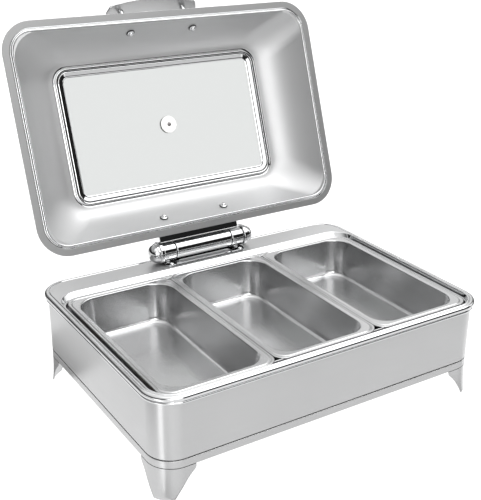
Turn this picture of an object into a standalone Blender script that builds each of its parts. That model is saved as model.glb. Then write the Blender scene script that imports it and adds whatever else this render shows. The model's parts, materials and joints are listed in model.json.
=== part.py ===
"""Rectangular buffet chafer: an electrically heated water pan in a skirted base, three third-size
food pans side by side, and a windowed dome lid that swings up on a damped barrel hinge.

X runs to the right along the front, Y runs to the back and Z is up; the feet stand on Z = 0.
The lid is modelled shut under an empty on the hinge axis, and that empty holds it open.
"""
import math

import bmesh
import bpy
from mathutils import Matrix, Vector

# ---- Driving dimensions, in metres ----
GAP = 0.0004                # running and seating clearance between separate pieces
SHEET = 0.001               # pressed steel sheet
CORNER_STEPS = 5            # flat facets in each rounded corner

RIM_X = 0.2845              # half width of the water pan's rim
RIM_Y = 0.2053              # half depth of the rim
RIM_Z = 0.158               # top of the rim
RIM_RADIUS = 0.046
RIM_DROP = 0.0134           # height of the rim's rounded outer bead
STEP_X = 0.2742             # half width of the step down inside the rim
STEP_FRONT = -0.1950
STEP_RADIUS = 0.0360
STEP_BACK = 0.1535          # behind this the rim is a wide land that carries the hinge
LEDGE_Z = 0.1502            # ledge that the food pans hang on
WELL_X = 0.2575
WELL_FRONT = -0.1815
WELL_BACK = 0.1325
WELL_FLOOR_Z = 0.077

BODY_X = 0.2785             # half width of the skirt
BODY_Y = 0.1990
BODY_RADIUS = 0.038
SEAM_Z = 0.0607             # joint between the skirt and the base tray
TRAY_Z = 0.0475             # underside of the base tray's edge, where the feet are fixed
PLATE_Z = 0.0450            # underside of the bottom plate pressed down between the feet

FOOT_ARM = 0.054            # reach of a foot along each side, from the square corner
FOOT_TOE = 0.022            # reach of its toe
FOOT_SHEET = 0.0016
FOOT_FLARE = 0.003
FOOT_SOLE = 0.0002          # keeps the toe's inner edge off the floor plane

PAN_WIDTH = 0.176           # third-size gastronorm pan
PAN_LENGTH = 0.325
PAN_DEPTH = 0.065
PAN_PITCH = 0.17675
PAN_TOP_Z = 0.1538
PAN_Y = -0.0231
LEFT_PAN_FORWARD = 0.003    # the left pan sits a little nearer the front

HINGE_Y = 0.1817
HINGE_Z = 0.1771
LID_ANGLE = math.radians(109.4)   # how far the lid is swung up
BARREL_RADIUS = 0.0155
SHAFT_RADIUS = 0.0055
CAP_RADIUS = 0.0185
BARREL_HALF = 0.053         # half length of the turning middle tube
SLEEVE_END = 0.0765
CAP_END = 0.098

LID_X = 0.27975             # half width of the lid's flange
LID_FRONT = -0.2071
LID_BACK = 0.1554
LID_Z = 0.1603              # underside of the flange, shut
LID_RADIUS = 0.050
LID_WALL_X = 0.2625         # half width where the dome springs from the flange
LID_WALL_Y = 0.1640
DOME_HEIGHT = 0.057
DOME_POWER = 1.85
WINDOW_X = 0.1885           # half size of the raised bead round the window
WINDOW_Y = 0.1125
FIXING_X = 0.0574           # handle and hinge fixings, either side of the middle
FIXING_RISE = 0.021         # their height above the flange

CONTROL_X = 0.150           # middle of the control plate, on the rear of the skirt
CONTROL_Z = 0.104

ORIGIN_Y = 0.0758           # depth of the whole object's middle, with the lid up

LID_MID_Y = (LID_FRONT + LID_BACK) / 2
LID_HALF_Y = (LID_BACK - LID_FRONT) / 2

MATERIALS = {
    "satin_steel": ((0.62, 0.63, 0.64), 0.38, 1.0),
    "polished_steel": ((0.80, 0.81, 0.82), 0.10, 1.0),
    "dark_steel": ((0.25, 0.25, 0.26), 0.45, 1.0),
    "glass": ((0.78, 0.84, 0.82), 0.05, 0.0),
    "black_rubber": ((0.03, 0.03, 0.03), 0.60, 0.0),
    "white_plastic": ((0.85, 0.85, 0.83), 0.35, 0.0),
    "black_plastic": ((0.04, 0.04, 0.04), 0.45, 0.0),
    "lamp_lens": ((0.75, 0.20, 0.08), 0.20, 0.0),
}


# ---- Scene set-up ----
def clear_scene():
    for obj in list(bpy.data.objects):
        bpy.data.objects.remove(obj, do_unlink=True)


def make_material(name):
    colour, roughness, metallic = MATERIALS[name]
    material = bpy.data.materials.new(name)
    material.use_nodes = True
    shader = material.node_tree.nodes["Principled BSDF"]
    shader.inputs["Base Color"].default_value = (*colour, 1.0)
    shader.inputs["Roughness"].default_value = roughness
    shader.inputs["Metallic"].default_value = metallic
    if name == "glass":
        shader.inputs["Transmission Weight"].default_value = 0.9
    return material


def make_collection(name):
    collection = bpy.data.collections.new(name)
    bpy.context.scene.collection.children.link(collection)
    return collection


def make_empty(name, location, parent=None):
    empty = bpy.data.objects.new(name, None)
    empty.location = location
    empty.parent = parent
    parts.objects.link(empty)
    return empty


def add_mesh(name, bm, material, parent, smooth_below=40):
    mesh = bpy.data.meshes.new(name)
    bm.to_mesh(mesh)
    bm.free()
    mesh.shade_smooth()
    mesh.set_sharp_from_angle(angle=math.radians(smooth_below))
    obj = bpy.data.objects.new(name, mesh)
    obj.parent = parent
    if material is None:
        obj.hide_render = True
        obj.display_type = "WIRE"
        cutters.objects.link(obj)
    else:
        mesh.materials.append(materials[material])
        parts.objects.link(obj)
    return obj


def boolean(obj, tool, operation="DIFFERENCE"):
    modifier = obj.modifiers.new(f"{operation.lower()}_{tool.name}", "BOOLEAN")
    modifier.operation = operation
    modifier.object = tool


# ---- Shape makers ----
def ring(half_x, front, back, z, radius):
    """Points round a rectangle with rounded corners, anticlockwise seen from above."""
    points = []
    corners = ((half_x, back, 0), (-half_x, back, 1), (-half_x, front, 2), (half_x, front, 3))
    for x, y, quarter in corners:
        centre_x = x - math.copysign(radius, x)
        centre_y = y + (radius if y == front else -radius)
        for step in range(CORNER_STEPS + 1):
            angle = (quarter + step / CORNER_STEPS) * math.pi / 2
            points.append((centre_x + radius * math.cos(angle),
                           centre_y + radius * math.sin(angle), z))
    return points


def middle_ring(half_x, half_y, z, radius, middle_y=0.0):
    return ring(half_x, middle_y - half_y, middle_y + half_y, z, radius)


def loft(rings, capped=False, looped=False):
    """Skin consecutive rings of equal length; cap the last one, or join it back to the first."""
    bm = bmesh.new()
    rows = [[bm.verts.new(point) for point in points] for points in rings]
    pairs = list(zip(rows, rows[1:]))
    if looped:
        pairs.append((rows[-1], rows[0]))
    for lower, upper in pairs:
        for i in range(len(lower)):
            j = (i + 1) % len(lower)
            bm.faces.new((lower[i], lower[j], upper[j], upper[i]))
    if capped:
        bm.faces.new(rows[-1])
    return bm


def sheet(name, rings, material, parent, thickness=SHEET, offset=1.0, capped=False):
    """Pressed sheet: the rings lie on one face, and Solidify gives it its thickness."""
    obj = add_mesh(name, loft(rings, capped=capped), material, parent)
    solidify = obj.modifiers.new("sheet", "SOLIDIFY")
    solidify.thickness = thickness
    solidify.offset = offset
    solidify.use_even_offset = True
    solidify.use_quality_normals = True
    return obj


def looped_solid(name, rings, material, parent):
    bm = loft(rings, looped=True)
    bmesh.ops.recalc_face_normals(bm, faces=bm.faces)
    return add_mesh(name, bm, material, parent)


def box(name, size, centre, material, parent, bevel=0.0):
    bm = bmesh.new()
    bmesh.ops.create_cube(bm, size=1.0)
    bmesh.ops.scale(bm, vec=size, verts=bm.verts)
    bmesh.ops.translate(bm, vec=centre, verts=bm.verts)
    obj = add_mesh(name, bm, material, parent)
    if bevel:
        modifier = obj.modifiers.new("edges", "BEVEL")
        modifier.width = bevel
        modifier.segments = 2
    return obj


def cylinder(name, radius, depth, centre, turn, material, parent, sides=24):
    bm = bmesh.new()
    bmesh.ops.create_cone(bm, cap_ends=True, segments=sides, radius1=radius,
                          radius2=radius, depth=depth)
    bmesh.ops.transform(bm, matrix=Matrix.Translation(centre) @ turn, verts=bm.verts)
    return add_mesh(name, bm, material, parent)


def turned(name, profile, material, parent, steps=24, hollow=False):
    """A turned piece about its own Z; the profile is (radius, z) down the outer side."""
    bm = bmesh.new()
    verts = [bm.verts.new((radius, 0.0, z)) for radius, z in profile]
    for first, second in zip(verts, verts[1:]):
        bm.edges.new((first, second))
    if hollow:
        bm.edges.new((verts[-1], verts[0]))
    obj = add_mesh(name, bm, material, parent)
    screw = obj.modifiers.new("turn", "SCREW")
    screw.axis = "Z"
    screw.angle = math.tau
    screw.steps = steps
    screw.render_steps = steps
    screw.use_merge_vertices = True
    screw.merge_threshold = 0.00001
    return obj


def flat_outline(name, outlines, thickness, material, parent):
    """A plate cut to closed outlines in its local XY plane, centred on Z = 0."""
    curve = bpy.data.curves.new(name, "CURVE")
    curve.dimensions = "2D"
    curve.fill_mode = "BOTH"
    curve.extrude = thickness / 2
    for points in outlines:
        spline = curve.splines.new("POLY")
        spline.points.add(len(points) - 1)
        for point, (x, y) in zip(spline.points, points):
            point.co = (x, y, 0.0, 1.0)
        spline.use_cyclic_u = True
    curve.materials.append(materials[material])
    obj = bpy.data.objects.new(name, curve)
    obj.parent = parent
    parts.objects.link(obj)
    return obj


def as_mesh(obj):
    """Replace a curve object by its welded mesh, so that it can be cut."""
    graph = bpy.context.evaluated_depsgraph_get()
    mesh = bpy.data.meshes.new_from_object(obj.evaluated_get(graph))
    bm = bmesh.new()
    bm.from_mesh(mesh)
    bmesh.ops.remove_doubles(bm, verts=bm.verts, dist=0.00001)
    bmesh.ops.recalc_face_normals(bm, faces=bm.faces)
    bm.to_mesh(mesh)
    bm.free()
    name, parent, local = obj.name, obj.parent, obj.matrix_local.copy()
    bpy.data.objects.remove(obj, do_unlink=True)
    solid = bpy.data.objects.new(name, mesh)
    solid.parent = parent
    solid.matrix_local = local
    parts.objects.link(solid)
    return solid


def tube(name, points, radius, material, parent):
    curve = bpy.data.curves.new(name, "CURVE")
    curve.dimensions = "3D"
    curve.bevel_depth = radius
    curve.bevel_resolution = 1
    curve.use_fill_caps = True
    spline = curve.splines.new("POLY")
    spline.points.add(len(points) - 1)
    for point, place in zip(spline.points, points):
        point.co = (*place, 1.0)
    curve.materials.append(materials[material])
    obj = bpy.data.objects.new(name, curve)
    obj.parent = parent
    parts.objects.link(obj)
    return obj


def circle(radius, centre=(0.0, 0.0), sides=20):
    return [(centre[0] + radius * math.cos(math.tau * i / sides),
             centre[1] + radius * math.sin(math.tau * i / sides)) for i in range(sides)]


def turn_x(angle):
    return Matrix.Rotation(angle, 4, "X")


def turn_y(angle):
    return Matrix.Rotation(angle, 4, "Y")


# ---- Base: tray, feet, skirt, water pan ----
def make_base_tray():
    """Low band under the skirt, with a lip that stands in the skirt and a bottom plate between the
    feet, pressed down past their flanges."""
    inner_x = BODY_X - 0.0035
    inner_y = BODY_Y - 0.0035
    band_top = SEAM_Z - GAP
    rings = [
        middle_ring(inner_x, inner_y, SEAM_Z + 0.010, BODY_RADIUS - 0.0035),
        middle_ring(inner_x, inner_y, band_top, BODY_RADIUS - 0.0035),
        middle_ring(BODY_X, BODY_Y, band_top, BODY_RADIUS),
        middle_ring(BODY_X, BODY_Y, TRAY_Z + 0.0008, BODY_RADIUS),
        middle_ring(BODY_X - 0.0008, BODY_Y - 0.0008, TRAY_Z, BODY_RADIUS - 0.0008),
        middle_ring(BODY_X - 0.026, BODY_Y - 0.026, TRAY_Z, BODY_RADIUS - 0.020),
        middle_ring(BODY_X - 0.030, BODY_Y - 0.030, PLATE_Z, BODY_RADIUS - 0.024),
    ]
    sheet("base_tray", rings, "satin_steel", origin, offset=1.0, capped=True)


def foot_place(distance, inset):
    """A point in plan on the skirt's rounded corner path, with the corner at the origin."""
    straight = FOOT_ARM - BODY_RADIUS
    arc = BODY_RADIUS * math.pi / 2
    reach = BODY_RADIUS - inset
    if distance < straight:
        return Vector((FOOT_ARM - distance, inset))
    if distance > straight + arc:
        return Vector((inset, BODY_RADIUS + distance - straight - arc))
    angle = (distance - straight) / BODY_RADIUS
    return Vector((BODY_RADIUS - reach * math.sin(angle), BODY_RADIUS - reach * math.cos(angle)))


def make_foot(name, side_x, side_y):
    """Bracket foot folded round a corner: ogee sides, a flared toe and a flange under the tray."""
    length = 2 * (FOOT_ARM - BODY_RADIUS) + BODY_RADIUS * math.pi / 2
    ogee = FOOT_ARM - FOOT_TOE
    ear_z = TRAY_Z - 0.004
    top_z = TRAY_Z - GAP
    columns = 16
    rows = 3
    bm = bmesh.new()
    bmesh.ops.create_grid(bm, x_segments=columns, y_segments=rows + 1, size=0.5)
    for vert in bm.verts:
        distance = (vert.co.x + 0.5) * length
        level = round((vert.co.y + 0.5) * (rows + 1))
        from_end = min(distance, length - distance)
        low_z = FOOT_SOLE + ear_z * (1.0 - min(from_end / ogee, 1.0) ** 1.35)
        if level > rows:
            z = top_z
            inset = 0.014
        else:
            z = low_z + (top_z - low_z) * level / rows
            inset = -FOOT_FLARE * (1.0 - z / TRAY_Z) ** 2
        place = foot_place(distance, inset)
        vert.co = (side_x * (BODY_X - place.x), side_y * (BODY_Y - place.y), z)
    foot = add_mesh(name, bm, "satin_steel", origin)
    solidify = foot.modifiers.new("sheet", "SOLIDIFY")
    solidify.thickness = FOOT_SHEET
    solidify.offset = side_x * side_y
    solidify.use_even_offset = True


def make_housing():
    """Skirt between the tray and the rim, with a short inward hem along its top."""
    hem = 0.003
    top_z = RIM_Z - RIM_DROP + 0.004
    rings = [
        middle_ring(BODY_X - 0.002, BODY_Y - 0.002, SEAM_Z, BODY_RADIUS - 0.002),
        middle_ring(BODY_X, BODY_Y, SEAM_Z + 0.0008, BODY_RADIUS),
        middle_ring(BODY_X, BODY_Y, top_z, BODY_RADIUS),
        middle_ring(BODY_X - hem, BODY_Y - hem, top_z, BODY_RADIUS - hem),
    ]
    return sheet("base_housing", rings, "satin_steel", origin, offset=-1.0)


def make_water_pan():
    """Mirror rim with a rounded bead, groove and rear land, a step, a ledge and the water well."""
    def rim(inset, z):
        return middle_ring(RIM_X - inset, RIM_Y - inset, z, RIM_RADIUS - inset)

    rings = [
        rim(0.0014, RIM_Z - RIM_DROP),
        rim(0.0, RIM_Z - 0.0105),
        rim(0.0, RIM_Z - 0.0060),
        rim(0.0014, RIM_Z - 0.0022),
        rim(0.0042, RIM_Z - 0.0003),
        rim(0.0068, RIM_Z),
        rim(0.0080, RIM_Z - 0.0012),
        rim(0.0092, RIM_Z - 0.0002),
        ring(STEP_X, STEP_FRONT, STEP_BACK, RIM_Z - 0.0002, STEP_RADIUS),
        ring(STEP_X - 0.0010, STEP_FRONT + 0.0010, STEP_BACK - 0.0010, RIM_Z - 0.0016,
             STEP_RADIUS - 0.0010),
        ring(STEP_X - 0.0016, STEP_FRONT + 0.0016, STEP_BACK - 0.0030, LEDGE_Z,
             STEP_RADIUS - 0.0016),
        ring(WELL_X, WELL_FRONT, WELL_BACK, LEDGE_Z, 0.024),
        ring(WELL_X - 0.0012, WELL_FRONT + 0.0012, WELL_BACK - 0.0012, LEDGE_Z - 0.002, 0.023),
        ring(WELL_X - 0.0050, WELL_FRONT + 0.0012, WELL_BACK - 0.0012, 0.087, 0.022),
        ring(WELL_X - 0.0110, WELL_FRONT + 0.0070, WELL_BACK - 0.0070, WELL_FLOOR_Z, 0.018),
    ]
    sheet("water_pan", rings, "polished_steel", origin, offset=-1.0, capped=True)


# ---- Food pans ----
def make_food_pan(name, x, forward):
    """Third-size pan: turned-down edge, flat flange, drafted walls and a rounded floor."""
    place = make_empty(f"{name}_place", (x, PAN_Y - forward, PAN_TOP_Z), origin)
    half_x = PAN_WIDTH / 2
    half_y = PAN_LENGTH / 2

    def station(inset, drop, radius):
        return middle_ring(half_x - inset, half_y - inset, -drop, radius)

    rings = [
        station(0.0000, PAN_TOP_Z - LEDGE_Z - GAP, 0.018),
        station(0.0000, 0.0012, 0.018),
        station(0.0012, 0.0000, 0.017),
        station(0.0100, 0.0000, 0.030),
        station(0.0116, 0.0014, 0.034),
        station(0.0160, 0.0540, 0.031),
        station(0.0182, 0.0605, 0.029),
        station(0.0225, 0.0642, 0.026),
        station(0.0290, PAN_DEPTH, 0.022),
    ]
    sheet(name, rings, "satin_steel", place, thickness=0.0009, offset=-1.0, capped=True)


# ---- Heating and controls ----
def make_heating():
    plate_rings = [middle_ring(0.165, 0.110, z, 0.020, PAN_Y) for z in (0.0755, 0.0725)]
    bm = loft(plate_rings, capped=True)
    bm.faces.new(list(bm.verts)[:len(plate_rings[0])])
    bmesh.ops.recalc_face_normals(bm, faces=bm.faces)
    add_mesh("heating_plate", bm, "dark_steel", origin)
    tube("heating_element", element_route(), 0.0032, "dark_steel", origin)
    shield = [
        middle_ring(0.182, 0.127, 0.0700, 0.022, PAN_Y),
        middle_ring(0.180, 0.125, 0.0640, 0.020, PAN_Y),
    ]
    sheet("heat_shield", shield, "satin_steel", origin, offset=1.0, capped=True)


def element_route():
    """A flat serpentine of three bends, its two ends brought out to the rear."""
    z = 0.0688
    reach_x = 0.130
    pitch_y = 0.044
    rows = 4
    bend = pitch_y / 2
    first_y = PAN_Y + pitch_y * (rows - 1) / 2
    points = [(reach_x, first_y, z)]
    for row in range(rows):
        side = -1 if row % 2 == 0 else 1
        y = first_y - row * pitch_y
        points.append((side * reach_x, y, z))
        if row == rows - 1:
            break
        for step in range(1, 6):
            angle = math.pi * step / 6
            points.append((side * (reach_x + bend * math.sin(angle)),
                           y - bend * (1 - math.cos(angle)), z))
        points.append((side * reach_x, y - pitch_y, z))
    return points


def make_controls(housing):
    """Thermostat, lamp and mains inlet on one plate, over an opening in the rear of the skirt."""
    outside = BODY_Y
    plate = box("control_plate", (0.128, 0.0012, 0.052),
                (CONTROL_X, outside + GAP + 0.0006, CONTROL_Z), "black_plastic", origin)
    knob_x = CONTROL_X
    lamp_x = CONTROL_X - 0.042
    inlet_x = CONTROL_X + 0.042
    across = turn_x(math.pi / 2)
    shaft_hole = cylinder("cut_shaft", 0.0042, 0.030, (knob_x, outside, CONTROL_Z), across, None,
                          origin)
    lamp_hole = cylinder("cut_lamp", 0.0055, 0.030, (lamp_x, outside, CONTROL_Z), across, None,
                         origin)
    inlet_hole = box("cut_inlet", (0.0285, 0.030, 0.0215), (inlet_x, outside, CONTROL_Z), None,
                     origin)
    for cutter in (shaft_hole, lamp_hole, inlet_hole):
        boolean(plate, cutter)
    service_opening = box("cut_service", (0.112, 0.030, 0.040), (CONTROL_X, outside, CONTROL_Z),
                          None, origin)
    boolean(housing, service_opening)

    body_front = outside - 2 * GAP - 0.026
    box("thermostat_body", (0.036, 0.026, 0.036),
        (knob_x, body_front + 0.013, CONTROL_Z), "black_plastic", origin, bevel=0.002)

    lamp = make_empty("lamp_place", (lamp_x, outside + 0.0016 + GAP, CONTROL_Z), origin)
    lamp.rotation_euler = (-math.pi / 2, 0.0, 0.0)
    turned("pilot_lamp", [(0.0, 0.0032), (0.0035, 0.0026), (0.0062, 0.0008), (0.0068, 0.0),
                          (0.0050, 0.0), (0.0050, -0.0150), (0.0, -0.0150)],
           "lamp_lens", lamp, steps=12)

    inlet = box("power_inlet", (0.0277, 0.024, 0.0207), (inlet_x, outside - 0.0098, CONTROL_Z),
                "black_plastic", origin)
    recess = box("cut_recess", (0.0240, 0.016, 0.0165), (inlet_x, outside + 0.0002, CONTROL_Z),
                 None, origin)
    boolean(inlet, recess)

    knob = make_empty("control_knob_axis", (knob_x, outside + 0.0016 + 2 * GAP, CONTROL_Z), origin)
    knob.rotation_euler = (-math.pi / 2, 0.0, 0.0)
    grip = turned("control_knob",
                  [(0.0, 0.0160), (0.0130, 0.0160), (0.0145, 0.0148), (0.0155, 0.0030),
                   (0.0180, 0.0), (0.0030, 0.0), (0.0030, -0.0028), (0.0, -0.0028)],
                  "black_plastic", knob, steps=20)
    pointer = box("knob_pointer", (0.0030, 0.0120, 0.0020), (0.0, 0.0080, 0.0162), None, knob)
    boolean(grip, pointer)


# ---- Hinge ----
def make_hinge_base():
    """Foot plate on the rim's land, with two saddles for the fixed sleeves and an open middle."""
    plate_z = RIM_Z + GAP + 0.0013
    middle_y = 0.1765
    outline = [(x, y) for x, y, _ in middle_ring(0.0755, 0.0195, 0.0, 0.009)]
    slot = [(x, y - 0.0090) for x, y, _ in middle_ring(0.0500, 0.0062, 0.0, 0.0061)]
    plate = flat_outline("hinge_base", [outline, slot], 0.0026, "polished_steel", origin)
    plate.location = (0.0, middle_y, plate_z)
    plate = as_mesh(plate)
    plate.parent = origin
    saddle_mid = (BARREL_HALF + SLEEVE_END) / 2 + GAP
    for label, side in (("left", -1), ("right", 1)):
        saddle = box(f"saddle_{label}", (0.0215, 0.0240, 0.0060),
                     (side * saddle_mid, HINGE_Y, plate_z + 0.0032), None, origin)
        boolean(plate, saddle, "UNION")
    bed = cylinder("cut_barrel_bed", BARREL_RADIUS + GAP, 0.30, (0.0, HINGE_Y, HINGE_Z),
                   turn_y(math.pi / 2), None, origin, sides=24)
    boolean(plate, bed)
    for label, side in (("left", -1), ("right", 1)):
        place = make_empty(f"base_screw_place_{label}",
                           (side * 0.0660, middle_y - 0.0140, plate_z + 0.0013 + GAP), origin)
        turned(f"hinge_base_screw_{label}",
               [(0.0, 0.0018), (0.0022, 0.0014), (0.0036, 0.0), (0.0, 0.0)],
               "polished_steel", place, steps=8)


def make_hinge_barrel(lid):
    """Damped pin hinge: shaft, fixed outer sleeves and caps, and a middle tube that turns."""
    along_x = (0.0, math.pi / 2, 0.0)
    bore = SHAFT_RADIUS + GAP

    def tube_profile(radius, start, end):
        return [(bore, end), (radius - 0.0006, end), (radius, end - 0.0006),
                (radius, start + 0.0006), (radius - 0.0006, start), (bore, start)]

    axis = make_empty("hinge_axis", (0.0, HINGE_Y, HINGE_Z), origin)
    axis.rotation_euler = along_x
    turned("hinge_shaft", [(0.0, 0.0755), (SHAFT_RADIUS, 0.0755), (SHAFT_RADIUS, -0.0755),
                           (0.0, -0.0755)], "polished_steel", axis, steps=12)
    barrel_axis = make_empty("barrel_axis", (0.0, 0.0, 0.0), lid)
    barrel_axis.rotation_euler = along_x
    turned("hinge_barrel", tube_profile(BARREL_RADIUS, -BARREL_HALF, BARREL_HALF),
           "polished_steel", barrel_axis, steps=20, hollow=True)
    dome = [(0.0, CAP_END)]
    for degrees in (25, 50, 72):
        angle = math.radians(degrees)
        dome.append((0.0150 * math.sin(angle), 0.0872 + 0.0108 * math.cos(angle)))
    flange = SLEEVE_END + GAP
    dome += [(0.0160, 0.0862), (0.0166, 0.0836), (CAP_RADIUS - 0.0006, 0.0826),
             (CAP_RADIUS, 0.0814), (CAP_RADIUS, flange + 0.0012),
             (CAP_RADIUS - 0.0012, flange), (0.0, flange)]
    for label, side in (("left", -1), ("right", 1)):
        end = make_empty(f"hinge_end_{label}", (0.0, HINGE_Y, HINGE_Z), origin)
        end.rotation_euler = (0.0, side * math.pi / 2, 0.0)
        turned(f"hinge_sleeve_{label}",
               tube_profile(BARREL_RADIUS, BARREL_HALF + GAP, SLEEVE_END),
               "polished_steel", end, steps=20, hollow=True)
        turned(f"hinge_cap_{label}", dome, "polished_steel", end, steps=20)


# ---- Lid ----
def dome_station(share):
    """Rise of the dome at a share of the way in from its springing to the window."""
    return DOME_HEIGHT * (1.0 - (1.0 - share) ** DOME_POWER)


def wall_at(rise):
    """Half depth of the dome's inner face at a height, and its outward slope from level."""
    share = 1.0 - (1.0 - rise / DOME_HEIGHT) ** (1.0 / DOME_POWER)
    run = LID_WALL_Y - WINDOW_Y
    climb = DOME_HEIGHT * DOME_POWER * (1.0 - share) ** (DOME_POWER - 1.0)
    return LID_WALL_Y - run * share, math.atan2(run, climb)


def lid_ring(half_x, half_y, rise, radius):
    return ring(half_x, LID_MID_Y - half_y - HINGE_Y, LID_MID_Y + half_y - HINGE_Y,
                LID_Z + rise - HINGE_Z, radius)


def make_lid_shell(lid):
    """Flat flange with a hemmed edge and a raised bead, the dome, and the window's bead."""
    half_y = LID_HALF_Y

    def flange(inset, rise):
        return lid_ring(LID_X - inset, half_y - inset, rise, LID_RADIUS - inset)

    rings = [
        flange(0.0012, 0.0022),
        flange(0.0, 0.0012),
        flange(0.0004, 0.0),
        flange(0.0125, 0.0),
        flange(0.0140, -0.0015),
        flange(0.0156, -0.0015),
    ]
    shares = (0.0, 0.12, 0.26, 0.42, 0.60, 0.80, 1.0)
    for share in shares:
        rings.append(lid_ring(LID_WALL_X + (WINDOW_X + 0.002 - LID_WALL_X) * share,
                              LID_WALL_Y + (WINDOW_Y + 0.002 - LID_WALL_Y) * share,
                              dome_station(share), 0.033 - 0.007 * share))
    for inset, rise in ((0.0006, 0.0560), (0.0022, 0.0548), (0.0042, 0.0548), (0.0062, 0.0566),
                        (0.0066, 0.0602)):
        rings.append(lid_ring(WINDOW_X - inset, WINDOW_Y - inset, rise, 0.025 - inset))
    return sheet("lid_shell", rings, "satin_steel", lid, offset=1.0)


def make_window(lid):
    """Glass in an angled gasket, an outer clamping frame, and a vent disc riveted through."""
    hole_x = WINDOW_X - 0.0066
    hole_y = WINDOW_Y - 0.0066

    def seat(inset, rise):
        return lid_ring(hole_x - inset, hole_y - inset, rise, 0.0184 - inset)

    looped_solid("window_gasket",
                 [seat(GAP, 0.0574), seat(GAP, 0.0634), seat(0.0030, 0.0634),
                  seat(0.0030, 0.0590), seat(0.0056, 0.0590), seat(0.0056, 0.0574)],
                 "black_rubber", lid)
    looped_solid("window_frame",
                 [seat(-0.0100, 0.0588), seat(-0.0100, 0.0645), seat(-0.0088, 0.0654),
                  seat(0.0062, 0.0654), seat(0.0062, 0.0638), seat(-0.0086, 0.0638),
                  seat(-0.0086, 0.0588)],
                 "polished_steel", lid)
    inset = 0.0030 + GAP
    outline = [(x, y) for x, y, _ in middle_ring(hole_x - inset, hole_y - inset, 0.0, 0.015)]
    glass = flat_outline("window_glass", [outline, circle(0.0034)], 0.0038, "glass", lid)
    mid_y = LID_MID_Y - HINGE_Y
    glass.location = (0.0, mid_y, LID_Z - HINGE_Z + 0.0590 + GAP + 0.0019)
    vent = make_empty("vent_place", (0.0, mid_y, LID_Z - HINGE_Z), lid)
    turned("vent_disc_inner",
           [(0.0034, 0.0590), (0.0175, 0.0590), (0.0175, 0.0576), (0.0163, 0.0566),
            (0.0034, 0.0562)], "white_plastic", vent, steps=20, hollow=True)
    turned("vent_disc_outer",
           [(0.0034, 0.0660), (0.0130, 0.0656), (0.0145, 0.0646), (0.0145, 0.0636),
            (0.0034, 0.0636)], "white_plastic", vent, steps=16, hollow=True)
    turned("vent_rivet",
           [(0.0, 0.0678), (0.0040, 0.0672), (0.0046, 0.0664), (0.0028, 0.0664),
            (0.0028, 0.0558), (0.0040, 0.0558), (0.0034, 0.0548), (0.0, 0.0544)],
           "dark_steel", vent, steps=8)


def wall_empty(name, lid, x, side_y):
    """An empty on the dome's inner face at a fixing, its Z pointing straight out of the wall."""
    half_depth, slope = wall_at(FIXING_RISE)
    place = make_empty(name, (x, LID_MID_Y + side_y * half_depth - HINGE_Y,
                              LID_Z + FIXING_RISE - HINGE_Z), lid)
    place.rotation_euler = (-side_y * (math.pi / 2 - slope), 0.0, 0.0)
    return place


def make_fixing(label, lid, x, side_y, stud_end, head, shell):
    """Cap nut inside the dome, with a stud through the wall; returns the hole's cutter."""
    place = wall_empty(f"{label}_place", lid, x, side_y)
    stud = 0.0024
    turned(f"{label}_nut",
           [(0.0, -0.0062), (0.0026, -0.0056), (0.0040, -0.0036), (0.0058, -0.0030),
            (0.0058, -GAP), (stud + GAP, -GAP), (stud + GAP, -0.0034), (0.0, -0.0034)][::-1],
           "polished_steel", place, steps=8)
    if head:
        turned(f"{label}_screw",
               [(0.0, stud_end + 0.0028), (0.0030, stud_end + 0.0022), (0.0044, stud_end),
                (stud, stud_end), (stud, -0.0030), (0.0, -0.0030)],
               "polished_steel", place, steps=8)
    hole = cylinder(f"cut_{label}", stud + GAP, 0.018, (0.0, 0.0, 0.0), Matrix.Identity(4),
                    None, place, sides=8)
    boolean(shell, hole)
    return place, hole


def make_handle(lid, shell):
    """Bowed strap handle on two turned posts, outside the lid's front wall."""
    post_out = 0.0478
    for label, side in (("left", -1), ("right", 1)):
        place, _ = make_fixing(f"handle_{label}", lid, side * FIXING_X, -1, 0.0, False, shell)
        stud = 0.0024
        turned(f"handle_post_{label}",
               [(0.0, post_out), (0.0046, post_out), (0.0050, post_out - 0.0030),
                (0.0050, 0.0080), (0.0075, 0.0040), (0.0080, 0.0016 + SHEET),
                (stud, 0.0016 + SHEET), (stud, -0.0030), (0.0, -0.0030)],
               "polished_steel", place, steps=12)
    middle = wall_empty("handle_middle", lid, 0.0, -1)
    reach = 0.083
    bow = 0.012
    strap_in = post_out + GAP
    thick = 0.0034
    steps = 14

    def arc(lift):
        points = []
        for i in range(steps + 1):
            x = reach * (2 * i / steps - 1)
            fixing = 1 - (FIXING_X / reach) ** 2
            points.append((x, strap_in + lift + bow * (1 - (x / reach) ** 2 - fixing)
                           + 0.0012))
        return points

    outline = arc(0.0) + arc(thick)[::-1]
    strap = flat_outline("lid_handle", [outline], 0.020, "satin_steel", middle)
    strap.rotation_euler = (math.pi / 2, 0.0, 0.0)


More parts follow.
